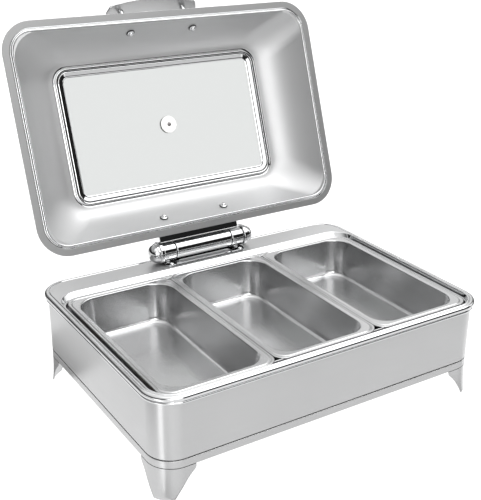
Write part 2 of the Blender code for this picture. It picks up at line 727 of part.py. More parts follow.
def make_hinge_leaf(lid, shell):
    """Bent plate from the turning tube to the rear wall, screwed on with two cap nuts."""
    half_depth, slope = wall_at(FIXING_RISE)
    thick = 0.0024
    stand_off = SHEET + GAP + 0.0010 + thick / 2
    wall_y = LID_MID_Y + half_depth - HINGE_Y
    wall_z = LID_Z + FIXING_RISE - HINGE_Z
    out = Vector((math.cos(slope), math.sin(slope)))
    up = Vector((-math.sin(slope), math.cos(slope)))
    centre = Vector((wall_y, wall_z)) + out * stand_off
    bend = centre - up * (centre.y / up.y)
    top = centre + up * 0.0095
    start = Vector((-BARREL_RADIUS - GAP, 0.0))
    inner = [start + Vector((0.0, thick / 2)), bend + Vector((0.0028, thick / 2)),
             bend + up * 0.0028 + out * thick / 2, top + out * thick / 2]
    outer = [top - out * thick / 2, bend - out * thick / 2 + up * 0.0004,
             bend + Vector((-0.0004, -thick / 2)), start - Vector((0.0, thick / 2))]
    outline = [(point.x, point.y) for point in inner + outer]
    leaf = flat_outline("hinge_leaf", [outline], 2 * (SLEEVE_END - 0.0015), "polished_steel", lid)
    leaf.matrix_local = Matrix(((0, 0, 1, 0), (1, 0, 0, 0), (0, 1, 0, 0), (0, 0, 0, 1)))
    leaf = as_mesh(leaf)
    for label, side in (("left", -1), ("right", 1)):
        _, hole = make_fixing(f"leaf_{label}", lid, side * FIXING_X, 1,
                              stand_off + thick / 2 + GAP, True, shell)
        boolean(leaf, hole)


# ---- Assembly ----
clear_scene()
parts = make_collection("buffet_chafer")
cutters = make_collection("cutters")
materials = {name: make_material(name) for name in MATERIALS}
origin = make_empty("chafer_origin", (0.0, -ORIGIN_Y, 0.0))
lid_axis = make_empty("lid_axis", (0.0, HINGE_Y, HINGE_Z), origin)

make_base_tray()
for front_back, depth_side in (("front", -1), ("rear", 1)):
    for left_right, width_side in (("left", -1), ("right", 1)):
        make_foot(f"foot_{front_back}_{left_right}", width_side, depth_side)
skirt = make_housing()
make_water_pan()
for pan_name, place_in_row in (("left", -1), ("middle", 0), ("right", 1)):
    nearer = LEFT_PAN_FORWARD if pan_name == "left" else 0.0
    make_food_pan(f"food_pan_{pan_name}", place_in_row * PAN_PITCH, nearer)
make_heating()
make_controls(skirt)
make_hinge_base()
make_hinge_barrel(lid_axis)
dome_shell = make_lid_shell(lid_axis)
make_window(lid_axis)
make_handle(lid_axis, dome_shell)
make_hinge_leaf(lid_axis, dome_shell)
lid_axis.rotation_euler = (-LID_ANGLE, 0.0, 0.0)
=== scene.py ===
"""Looks of the rectangular buffet chafer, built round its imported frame.

Plan sizes are measured from the middle of the base, in metres, as the part is designed. The lid's
pieces are laid out shut, relative to the hinge axis, and swung up by the lid's own angle.
"""
import json
import math

import bmesh
import bpy
from mathutils import Euler, Matrix, Vector


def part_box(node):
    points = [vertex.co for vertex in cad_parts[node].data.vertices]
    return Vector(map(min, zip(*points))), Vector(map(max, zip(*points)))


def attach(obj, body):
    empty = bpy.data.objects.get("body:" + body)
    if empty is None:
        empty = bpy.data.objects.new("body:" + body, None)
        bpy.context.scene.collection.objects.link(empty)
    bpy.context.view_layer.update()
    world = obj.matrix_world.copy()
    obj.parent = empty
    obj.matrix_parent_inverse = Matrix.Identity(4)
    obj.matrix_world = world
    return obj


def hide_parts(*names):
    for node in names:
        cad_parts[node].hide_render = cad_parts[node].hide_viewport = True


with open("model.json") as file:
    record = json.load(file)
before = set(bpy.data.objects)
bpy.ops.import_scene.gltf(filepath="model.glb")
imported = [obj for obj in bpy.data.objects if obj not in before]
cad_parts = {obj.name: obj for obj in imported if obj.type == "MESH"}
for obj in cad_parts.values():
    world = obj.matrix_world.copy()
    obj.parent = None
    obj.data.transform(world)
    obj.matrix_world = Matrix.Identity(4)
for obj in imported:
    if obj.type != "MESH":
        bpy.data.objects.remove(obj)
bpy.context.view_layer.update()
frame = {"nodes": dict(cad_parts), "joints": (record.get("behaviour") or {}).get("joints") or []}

# ---- Places and sizes read from the frame ----
RIM_LOW, RIM_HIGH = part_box("water_pan")
SKIRT_LOW, SKIRT_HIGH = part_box("base_housing")
LID_JOINT = next(joint for joint in frame["joints"] if joint["name"] == "lid_hinge")
KNOB_JOINT = next(joint for joint in frame["joints"] if joint["name"] == "thermostat_turn")
LID_ANGLE = math.radians(LID_JOINT["range_deg"][0])
DIAL_SWEEP = math.radians(KNOB_JOINT["range_deg"][1])
DIAL_START = math.radians(-45)      # lower left, seen from behind; the knob turns up clockwise

MIDDLE_Y = (RIM_LOW.y + RIM_HIGH.y) / 2
RIM_X = RIM_HIGH.x
RIM_Y = (RIM_HIGH.y - RIM_LOW.y) / 2
RIM_Z = RIM_HIGH.z
BODY_X = SKIRT_HIGH.x
BODY_Y = (SKIRT_HIGH.y - SKIRT_LOW.y) / 2
SEAM_Z = SKIRT_LOW.z
SKIRT_TOP = SKIRT_HIGH.z
HINGE_Y = LID_JOINT["pos_m"][1] - MIDDLE_Y
HINGE_Z = LID_JOINT["pos_m"][2]
LID_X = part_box("lid_shell")[1].x

# ---- Driving sizes of the pressed sheet ----
CORNER_STEPS = 14
SMOOTH_BELOW = math.radians(38)
SHEET = 0.001
GAP = 0.0004

RIM_RADIUS = 0.046
STEP_X = 0.2742
STEP_FRONT = -0.1950
STEP_BACK = 0.1535
STEP_RADIUS = 0.0360
LEDGE_Z = 0.1502
SLOT_X = 0.2682             # outer edge of the channel that the pans' edges hang over
SLOT_FRONT = -0.1896
SLOT_BACK = 0.1402
SLOT_Z = 0.1440
WELL_X = 0.2575
WELL_FRONT = -0.1815
WELL_BACK = 0.1325
WELL_FLOOR_Z = 0.077

BODY_RADIUS = 0.038
TRAY_Z = 0.0475
PLATE_Z = 0.0450

FOOT_ARM = 0.054
FOOT_TOE = 0.022
FOOT_SHEET = 0.0016
FOOT_FLARE = 0.003
FOOT_SOLE = 0.0002

PAN_DEPTH = 0.065
PAN_SHEET = 0.0009
PAN_EDGE = 0.0030
PAN_REST_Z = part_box("food_pan_left")[1].z - PAN_SHEET - GAP

BARREL_RADIUS = 0.0155
BARREL_HALF = 0.053
SLEEVE_END = 0.0765
CAP_RADIUS = 0.0185
CAP_END = 0.098

LID_FRONT = -0.2071
LID_BACK = 0.1554
LID_Z = 0.1603
LID_RADIUS = 0.050
LID_WALL_X = 0.2625
LID_WALL_Y = 0.1640
DOME_HEIGHT = 0.057
DOME_POWER = 1.85
WINDOW_X = 0.1885
WINDOW_Y = 0.1125
FIXING_X = 0.0574
FIXING_RISE = 0.021
LID_MID_Y = (LID_FRONT + LID_BACK) / 2
LID_HALF_Y = (LID_BACK - LID_FRONT) / 2

# ---- Camera ----
CAMERA_PLACE = Vector((-0.7132, -1.1622, 0.7701))
CAMERA_AZIMUTH = 33.28      # turned from +Y towards +X, in degrees
CAMERA_DOWN = 22.57
CAMERA_ROLL = 0.86
CAMERA_LENS = 66.64         # on a 36 mm sensor
CAMERA_SHIFT_X = -0.0385

SIDES = (("left", -1), ("right", 1))
BASE_PLACE = Matrix.Translation((0.0, MIDDLE_Y, 0.0))
LID_PLACE = (Matrix.Translation((0.0, MIDDLE_Y + HINGE_Y, HINGE_Z))
             @ Matrix.Rotation(LID_ANGLE, 4, "X"))


# ---- Materials ----
GRAIN_DEPTH = 0.0002
NOISE_LOW, NOISE_HIGH = 0.3, 0.7    # noise past these is held at the end it passed


def set_inputs(node, values):
    for name, value in values.items():
        node.inputs[name].default_value = value


def new_material(name, colour, roughness, metallic):
    material = bpy.data.materials.new(name)
    material.use_nodes = True
    shader = material.node_tree.nodes["Principled BSDF"]
    set_inputs(shader, {"Base Color": (*colour, 1.0), "Roughness": roughness,
                        "Metallic": metallic})
    return material, shader


def add_noise(material, scale, detail, stretch=(1.0, 1.0, 1.0)):
    """Procedural noise in the piece's own space, stretched along one direction or none."""
    nodes, links = material.node_tree.nodes, material.node_tree.links
    place = nodes.new("ShaderNodeTexCoord")
    mapping = nodes.new("ShaderNodeMapping")
    set_inputs(mapping, {"Scale": stretch})
    noise = nodes.new("ShaderNodeTexNoise")
    set_inputs(noise, {"Scale": scale, "Detail": detail})
    links.new(place.outputs["Object"], mapping.inputs["Vector"])
    links.new(mapping.outputs["Vector"], noise.inputs["Vector"])
    return noise.outputs["Fac"]


def remap(material, value, low, high):
    """Noise spread over a range of values."""
    node = material.node_tree.nodes.new("ShaderNodeMapRange")
    set_inputs(node, {"From Min": NOISE_LOW, "From Max": NOISE_HIGH, "To Min": low,
                      "To Max": high})
    material.node_tree.links.new(value, node.inputs["Value"])
    return node.outputs["Result"]


def add_values(tree, first, second):
    node = tree.nodes.new("ShaderNodeMath")
    node.operation = "ADD"
    tree.links.new(first, node.inputs[0])
    tree.links.new(second, node.inputs[1])
    return node.outputs["Value"]


def tint(material, shader, value, dark, light):
    """Base colour that wanders between two close colours."""
    ramp = material.node_tree.nodes.new("ShaderNodeValToRGB")
    ends = ((NOISE_LOW, dark), (NOISE_HIGH, light))
    for element, (position, colour) in zip(ramp.color_ramp.elements, ends):
        element.position = position
        element.color = (*colour, 1.0)
    material.node_tree.links.new(value, ramp.inputs["Fac"])
    material.node_tree.links.new(ramp.outputs["Color"], shader.inputs["Base Color"])


def add_bump(material, shader, height, strength):
    bump = material.node_tree.nodes.new("ShaderNodeBump")
    set_inputs(bump, {"Strength": strength, "Distance": GRAIN_DEPTH})
    material.node_tree.links.new(height, bump.inputs["Height"])
    material.node_tree.links.new(bump.outputs["Normal"], shader.inputs["Normal"])


def steel(name, colour, roughness, spread, grain_stretch, grain, anisotropic=0.0):
    """Stainless sheet: brushed grain, cloudy rolling marks and faint handling smears."""
    material, shader = new_material(name, colour, roughness, 1.0)
    fine = add_noise(material, 900.0, 2.0, grain_stretch)
    cloud = add_noise(material, 9.0, 4.0)
    smear = add_noise(material, 42.0, 5.0)
    rough = add_values(material.node_tree,
                       remap(material, fine, roughness - spread, roughness + spread),
                       remap(material, smear, -spread / 4, spread / 4))
    material.node_tree.links.new(rough, shader.inputs["Roughness"])
    tint(material, shader, cloud, tuple(0.985 * c for c in colour),
         tuple(min(1.0, 1.015 * c) for c in colour))
    if grain:
        add_bump(material, shader, fine, grain)
    if anisotropic:
        set_inputs(shader, {"Anisotropic": anisotropic, "Anisotropic Rotation": 0.25})
        tangent = material.node_tree.nodes.new("ShaderNodeTangent")
        tangent.direction_type = "RADIAL"
        tangent.axis = "Z"
        material.node_tree.links.new(tangent.outputs["Tangent"], shader.inputs["Tangent"])
    return material


# Dark steel: heat-dulled on the heater parts, and painted shade on the rim's channel under the pans'
# edges.
def heat_dulled_and_painted_shade_steel():
    material, shader = new_material("dark_steel", (0.25, 0.25, 0.26), 0.45, 1.0)
    cloud = add_noise(material, 14.0, 6.0)
    tint(material, shader, cloud, (0.20, 0.17, 0.15), (0.27, 0.28, 0.31))
    rough = remap(material, add_noise(material, 160.0, 3.0), 0.38, 0.52)
    material.node_tree.links.new(rough, shader.inputs["Roughness"])
    return material


def clear_glass():
    material, shader = new_material("window_glass", (0.62, 0.632, 0.627), 0.02, 0.0)
    set_inputs(shader, {"Transmission Weight": 1.0, "IOR": 1.5})
    smear = add_noise(material, 11.0, 5.0)
    material.node_tree.links.new(remap(material, smear, 0.0, 0.03), shader.inputs["Roughness"])
    return material


def moulded(name, colour, roughness, grain_scale, grain):
    """Rubber or plastic with a fine moulded grain and slight dulling."""
    material, shader = new_material(name, colour, roughness, 0.0)
    fine = add_noise(material, grain_scale, 3.0)
    cloud = add_noise(material, 35.0, 4.0)
    tint(material, shader, cloud, tuple(0.92 * c for c in colour),
         tuple(min(1.0, 1.06 * c) for c in colour))
    material.node_tree.links.new(remap(material, fine, roughness - 0.06, roughness + 0.06),
                                 shader.inputs["Roughness"])
    add_bump(material, shader, fine, grain)
    return material


def amber_lens():
    material, shader = new_material("amber_lens", (0.75, 0.20, 0.08), 0.12, 0.0)
    set_inputs(shader, {"Transmission Weight": 0.6, "IOR": 1.49})
    cloud = add_noise(material, 300.0, 2.0)
    tint(material, shader, cloud, (0.62, 0.14, 0.05), (0.85, 0.30, 0.12))
    return material


def make_materials():
    across = (0.02, 1.0, 1.0)
    drawn = (1.0, 0.02, 0.02)
    return {
        "satin_skirt": steel("satin_skirt", (0.52, 0.522, 0.525), 0.32, 0.03,
                             (0.02, 0.02, 1.0), 0.10, 0.75),
        "satin_press": steel("satin_press", (0.56, 0.562, 0.565), 0.48, 0.03, across, 0.02),
        # The lid's flange: the pressed satin made darker, painted shade.
        "satin_flange": steel("satin_flange", (0.36, 0.361, 0.362), 0.50, 0.03, across, 0.02),
        "satin_pan": steel("satin_pan", (0.54, 0.542, 0.545), 0.24, 0.02, drawn, 0.0),
        "polished": steel("polished_steel", (0.66, 0.665, 0.67), 0.05, 0.01, across, 0.0),
        "dark_steel": heat_dulled_and_painted_shade_steel(),
        "glass": clear_glass(),
        "rubber": moulded("black_rubber", (0.03, 0.03, 0.03), 0.62, 700.0, 0.2),
        "white_plastic": moulded("white_plastic", (0.85, 0.85, 0.83), 0.32, 500.0, 0.05),
        "black_plastic": moulded("black_plastic", (0.035, 0.035, 0.036), 0.42, 900.0, 0.25),
        "lens": amber_lens(),
    }


# ---- Making pieces ----
def linked_object(name, bm):
    mesh = bpy.data.meshes.new(name)
    bm.to_mesh(mesh)
    bm.free()
    made = bpy.data.objects.new(name, mesh)
    bpy.context.scene.collection.objects.link(made)
    return made


def add_piece(name, bm, looks, body, stands_for, place):
    """One piece of the object: its mesh, finish and the body it rides on."""
    piece = linked_object(name, bm)
    piece.data.shade_smooth()
    piece.data.set_sharp_from_angle(angle=SMOOTH_BELOW)
    looks = [looks] if isinstance(looks, str) else looks
    for look in looks:
        piece.data.materials.append(materials[look])
    piece.matrix_world = place
    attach(piece, body)
    if stands_for:
        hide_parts(stands_for)
    return piece


def even_normals(piece):
    modifier = piece.modifiers.new("even_normals", "WEIGHTED_NORMAL")
    modifier.keep_sharp = True


def thicken(piece, thickness, offset):
    modifier = piece.modifiers.new("sheet", "SOLIDIFY")
    modifier.thickness = thickness
    modifier.offset = offset
    modifier.use_quality_normals = True
    even_normals(piece)


def ring(half_x, front, back, z, radius):
    """Points round a rectangle with rounded corners, anticlockwise seen from above."""
    points = []
    corners = ((half_x, back, 0), (-half_x, back, 1), (-half_x, front, 2), (half_x, front, 3))
    for x, y, quarter in corners:
        centre_x = x - math.copysign(radius, x)
        centre_y = y + (radius if y == front else -radius)
        for step in range(CORNER_STEPS + 1):
            angle = (quarter + step / CORNER_STEPS) * math.pi / 2
            points.append((centre_x + radius * math.cos(angle),
                           centre_y + radius * math.sin(angle), z))
    return points


def softened(stations, steps=4):
    """Stations of a profile (half width, front, back, height, corner radius, reach of the bend)
    with every bend rounded; the reach is how far from the corner its curve begins."""
    rounded = [stations[0][:5]]
    for before, here, after in zip(stations, stations[1:], stations[2:]):
        if not here[5]:
            rounded.append(here[:5])
            continue
        starts = []
        for other in (before, after):
            run = math.dist((here[0], here[2], here[3]), (other[0], other[2], other[3]))
            share = min(here[5] / run, 0.5) if run else 0.0
            starts.append([a + (b - a) * share for a, b in zip(here[:5], other[:5])])
        for step in range(steps + 1):
            t = step / steps
            rounded.append(tuple((1 - t) ** 2 * a + 2 * t * (1 - t) * b + t * t * c
                                 for a, b, c in zip(starts[0], here[:5], starts[1])))
    rounded.append(stations[-1][:5])
    return rounded


def loft(rings, capped=False, looped=False, start_capped=False):
    bm = bmesh.new()
    rows = [[bm.verts.new(point) for point in points] for points in rings]
    pairs = list(zip(rows, rows[1:]))
    if looped:
        pairs.append((rows[-1], rows[0]))
    for lower, upper in pairs:
        for i in range(len(lower)):
            j = (i + 1) % len(lower)
            bm.faces.new((lower[i], lower[j], upper[j], upper[i]))
    if start_capped:
        bm.faces.new(rows[0])
    if capped:
        bm.faces.new(rows[-1])
    return bm


def turned_mesh(profile, steps):
    """Closed surface of revolution about Z; the profile is (radius, z) down the outer side."""
    bm = bmesh.new()
    columns = []
    for i in range(steps):
        angle = math.tau * i / steps
        columns.append([bm.verts.new((radius * math.cos(angle), radius * math.sin(angle), z))
                        for radius, z in profile])
    for column, following in zip(columns, columns[1:] + columns[:1]):
        for k in range(len(profile) - 1):
            bm.faces.new((column[k], column[k + 1], following[k + 1], following[k]))
    bmesh.ops.remove_doubles(bm, verts=bm.verts, dist=0.000001)
    bmesh.ops.recalc_face_normals(bm, faces=bm.faces)
    return bm


def add_turned(name, profile, steps, look, body, stands_for, place):
    even_normals(add_piece(name, turned_mesh(profile, steps), look, body, stands_for, place))


def box_mesh(size, centre=(0.0, 0.0, 0.0)):
    bm = bmesh.new()
    bmesh.ops.create_cube(bm, size=1.0)
    bmesh.ops.scale(bm, vec=size, verts=bm.verts)
    bmesh.ops.translate(bm, vec=centre, verts=bm.verts)
    return bm


def bevel(piece, width, segments=3):
    modifier = piece.modifiers.new("edges", "BEVEL")
    modifier.width = width
    modifier.segments = segments
    modifier.limit_method = "ANGLE"
    modifier.angle_limit = math.radians(35)
    even_normals(piece)


def cutter(name, bm, place):
    """A shape that is only used to cut others, so it never shows."""
    tool = linked_object(name, bm)
    tool.matrix_world = place
    tool.hide_render = True
    tool.hide_viewport = True
    return tool


def cut(piece, tool, operation="DIFFERENCE"):
    modifier = piece.modifiers.new(f"{operation.lower()}_{tool.name}", "BOOLEAN")
    modifier.operation = operation
    modifier.object = tool
    modifier.solver = "EXACT"


def arc(centre, radius, first, last, steps):
    """Points (along, up) on an arc between two angles in degrees."""
    points = []
    for i in range(steps + 1):
        angle = math.radians(first + (last - first) * i / steps)
        points.append((centre[0] + radius * math.cos(angle),
                       centre[1] + radius * math.sin(angle)))
    return points


def round_hole(radius):
    """Thirty points round a circle, for a hole in a plate."""
    return arc((0.0, 0.0), radius, 0, 348, 29)


def plate_mesh(outline, holes, thickness):
    """Flat plate from an outline and holes in its XY plane, centred on Z = 0."""
    curve = bpy.data.curves.new("outline", "CURVE")
    curve.dimensions = "2D"
    curve.fill_mode = "BOTH"
    curve.extrude = thickness / 2
    for points in (outline, *holes):
        spline = curve.splines.new("POLY")
        spline.points.add(len(points) - 1)
        for point, (x, y) in zip(spline.points, points):
            point.co = (x, y, 0.0, 1.0)
        spline.use_cyclic_u = True
    holder = bpy.data.objects.new("outline", curve)
    bpy.context.scene.collection.objects.link(holder)
    graph = bpy.context.evaluated_depsgraph_get()
    mesh = bpy.data.meshes.new_from_object(holder.evaluated_get(graph))
    bm = bmesh.new()
    bm.from_mesh(mesh)
    bmesh.ops.remove_doubles(bm, verts=bm.verts, dist=0.00001)
    bmesh.ops.recalc_face_normals(bm, faces=bm.faces)
    bpy.data.objects.remove(holder)
    bpy.data.meshes.remove(mesh)
    bpy.data.curves.remove(curve)
    return bm


def flat_ring(half_x, half_y, radius, middle_y=0.0):
    return [(x, y) for x, y, _ in ring(half_x, middle_y - half_y, middle_y + half_y, 0.0, radius)]


def paint_rows(bm, look_of_row):
    """Give each row of a loft, counted from its first ring, the finish at that index."""
    per_row = 4 * (CORNER_STEPS + 1)
    for index, face in enumerate(bm.faces):
        face.material_index = look_of_row(index // per_row)


# ---- Base ----
def make_rim_and_well():
    """One pressing: rolled lip over a second bead, groove, land, step, ledge, the channel round the
    pans with painted shade in it, the lip that they rest on, and the water well."""
    def lip(inset, z, reach=0.0):
        return (RIM_X - inset, inset - RIM_Y, RIM_Y - inset, z, RIM_RADIUS - inset, reach)

    stations = [lip(*point) for point in arc((0.0040, 0.1470), 0.0024, 270, 120, 8)]
    stations += [lip(*point) for point in arc((0.0046, RIM_Z - 0.0046), 0.0046, 240, 90, 12)]
    groove = (0.0064, RIM_Z), (0.0075, RIM_Z - 0.0012), (0.0087, RIM_Z - 0.0002)
    stations += [lip(*point, 0.0006) for point in groove]
    land_z = RIM_Z - 0.0002
    stations += [
        lip(0.0092, land_z),
        (STEP_X, STEP_FRONT, STEP_BACK, land_z, STEP_RADIUS, 0.0012),
        (STEP_X - 0.0016, STEP_FRONT + 0.0016, STEP_BACK - 0.0064, LEDGE_Z,
         STEP_RADIUS - 0.0016, 0.0014),
        (SLOT_X, SLOT_FRONT, SLOT_BACK, LEDGE_Z, 0.0215, 0.0005),
        (SLOT_X - 0.0006, SLOT_FRONT + 0.0006, SLOT_BACK - 0.0006, SLOT_Z, 0.0210, 0.0006),
        (WELL_X + 0.0030, WELL_FRONT - 0.0030, WELL_BACK + 0.0030, SLOT_Z, 0.0270, 0.0010),
        (WELL_X + 0.0016, WELL_FRONT - 0.0016, WELL_BACK + 0.0016, PAN_REST_Z, 0.0256, 0.0007),
        (WELL_X, WELL_FRONT, WELL_BACK, PAN_REST_Z, 0.024, 0.0010),
        (WELL_X - 0.0046, WELL_FRONT + 0.0012, WELL_BACK - 0.0012, 0.087, 0.022, 0.004),
        (WELL_X - 0.0110, WELL_FRONT + 0.0070, WELL_BACK - 0.0070, WELL_FLOOR_Z, 0.018, 0.004),
        (WELL_X - 0.0300, WELL_FRONT + 0.0300, WELL_BACK - 0.0300, WELL_FLOOR_Z, 0.010, 0.0),
    ]
    profile = softened(stations)
    bm = loft([ring(*station) for station in profile], capped=True)
    satin_rows, painted_shade_rows = set(), set()
    for row, (lower, upper) in enumerate(zip(profile, profile[1:])):
        level = abs(lower[3] - upper[3]) < 0.00001
        if WELL_X < lower[0] <= SLOT_X and min(lower[3], upper[3]) < LEDGE_Z - 0.0008:
            painted_shade_rows.add(row)
        elif level and lower[0] - upper[0] > 0.0004:
            satin_rows.add(row)
    # The channel rows take dark_steel, painted shade in the gap under the pans' edges.
    paint_rows(bm, lambda row: 2 if row in painted_shade_rows else int(row in satin_rows))
    piece = add_piece("rim_and_well", bm, ("polished", "satin_press", "dark_steel"), "base",
                      "water_pan", BASE_PLACE)
    thicken(piece, SHEET, -1.0)


def make_skirt():
    stations = [
        (BODY_X - 0.002, 0.002 - BODY_Y, BODY_Y - 0.002, SEAM_Z, BODY_RADIUS - 0.002, 0.0),
        (BODY_X, -BODY_Y, BODY_Y, SEAM_Z, BODY_RADIUS, 0.0009),
        (BODY_X, -BODY_Y, BODY_Y, SKIRT_TOP, BODY_RADIUS, 0.0012),
        (BODY_X - 0.003, 0.003 - BODY_Y, BODY_Y - 0.003, SKIRT_TOP, BODY_RADIUS - 0.003, 0.0),
    ]
    bm = loft([ring(*station) for station in softened(stations)])
    skirt = add_piece("skirt", bm, "satin_skirt", "base", "base_housing", BASE_PLACE)
    thicken(skirt, SHEET, -1.0)
    return skirt


def make_low_band():
    """Band under the skirt with a rolled lower edge, and the bottom plate between the feet."""
    lip = 0.0035
    top = SEAM_Z - 0.0016

    def level(inset, z, reach, radius=None):
        return (BODY_X - inset, inset - BODY_Y, BODY_Y - inset, z,
                BODY_RADIUS - inset if radius is None else radius, reach)

    stations = [
        level(lip, SEAM_Z + 0.010, 0.0),
        level(lip, top, 0.0003),
        level(0.0, top, 0.0009),
        level(0.0, TRAY_Z, 0.0012),
        level(0.026, TRAY_Z, 0.001, 0.018),
        level(0.030, PLATE_Z, 0.001, 0.014),
        level(0.060, PLATE_Z, 0.0, 0.010),
    ]
    bm = loft([ring(*station) for station in softened(stations)], capped=True)
    piece = add_piece("low_band", bm, "satin_skirt", "base", "base_tray", BASE_PLACE)
    thicken(piece, SHEET, 1.0)


def foot_place(distance, inset):
    """A point in plan on the skirt's corner path, with the square corner at the origin."""
    straight = FOOT_ARM - BODY_RADIUS
    bend = BODY_RADIUS * math.pi / 2
    reach = BODY_RADIUS - inset
    if distance < straight:
        return FOOT_ARM - distance, inset
    if distance > straight + bend:
        return inset, BODY_RADIUS + distance - straight - bend
    angle = (distance - straight) / BODY_RADIUS
    return BODY_RADIUS - reach * math.sin(angle), BODY_RADIUS - reach * math.cos(angle)


def make_foot(label, side_x, side_y):
    """Bracket foot folded round a corner: rounded ears, ogee sides and a slightly flared toe."""
    columns = 72
    rows = 14
    ear_round = 0.0034
    length = 2 * (FOOT_ARM - BODY_RADIUS) + BODY_RADIUS * math.pi / 2
    ogee = FOOT_ARM - FOOT_TOE
    ear_z = TRAY_Z - 0.0075
    top_z = TRAY_Z - GAP
    bm = bmesh.new()
    grid = []
    for column in range(columns + 1):
        distance = length * (0.5 - 0.5 * math.cos(math.pi * column / columns))
        from_end = min(distance, length - distance)
        low_z = FOOT_SOLE + ear_z * (1.0 - min(from_end / ogee, 1.0) ** 1.35)
        if from_end < ear_round:
            low_z += ear_round - math.sqrt(ear_round ** 2 - (ear_round - from_end) ** 2)
        line = []
        for row in range(rows + 1):
            z = low_z + (top_z - low_z) * row / rows
            along, inward = foot_place(distance, -FOOT_FLARE * (1.0 - z / TRAY_Z) ** 2)
            line.append((along, inward, z))
        for inset in (0.0004, 0.0016, 0.014):
            along, inward = foot_place(distance, inset)
            line.append((along, inward, top_z if inset > 0.0004 else top_z - 0.0001))
        grid.append([bm.verts.new((side_x * (BODY_X - along), side_y * (BODY_Y - inward), z))
                     for along, inward, z in line])
    for line, following in zip(grid, grid[1:]):
        for k in range(len(line) - 1):
            bm.faces.new((line[k], following[k], following[k + 1], line[k + 1]))
    if side_x * side_y < 0:
        bmesh.ops.reverse_faces(bm, faces=bm.faces)
    piece = add_piece(f"bracket_foot_{label}", bm, "satin_skirt", "base", f"foot_{label}",
                      BASE_PLACE)
    thicken(piece, FOOT_SHEET, 1.0)


# ---- Food pans ----
def make_food_pan(side):
    """Third-size pan: turned-down edge, fine bead on the flange, drafted walls, flat floor."""
    low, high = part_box(f"food_pan_{side}")
    half_x = (high.x - low.x) / 2
    half_y = (high.y - low.y) / 2
    top = high.z

    def level(inset, drop, radius, reach):
        return (half_x - inset, inset - half_y, half_y - inset, -drop, radius, reach)

    stations = [
        level(0.0016, PAN_EDGE, 0.0164, 0.0),
        level(0.0000, PAN_EDGE - 0.0004, 0.018, 0.0008),
        level(0.0000, 0.0000, 0.018, 0.0014),
        level(0.0026, 0.0000, 0.018, 0.0005),
        level(0.0035, 0.0009, 0.019, 0.0005),
        level(0.0048, 0.0000, 0.020, 0.0006),
        level(0.0112, 0.0000, 0.032, 0.0022),
        level(0.0163, PAN_DEPTH, 0.030, 0.0105),
        level(0.0420, PAN_DEPTH, 0.014, 0.0),
    ]
    profile = softened(stations, 7)
    bm = loft([ring(*station) for station in profile], capped=True)
    place = Matrix.Translation((low.x + half_x, low.y + half_y, top))
    piece = add_piece(f"pan_{side}_steel", bm, "satin_pan", f"pan_{side}", f"food_pan_{side}",
                      place)
    thicken(piece, PAN_SHEET, -1.0)


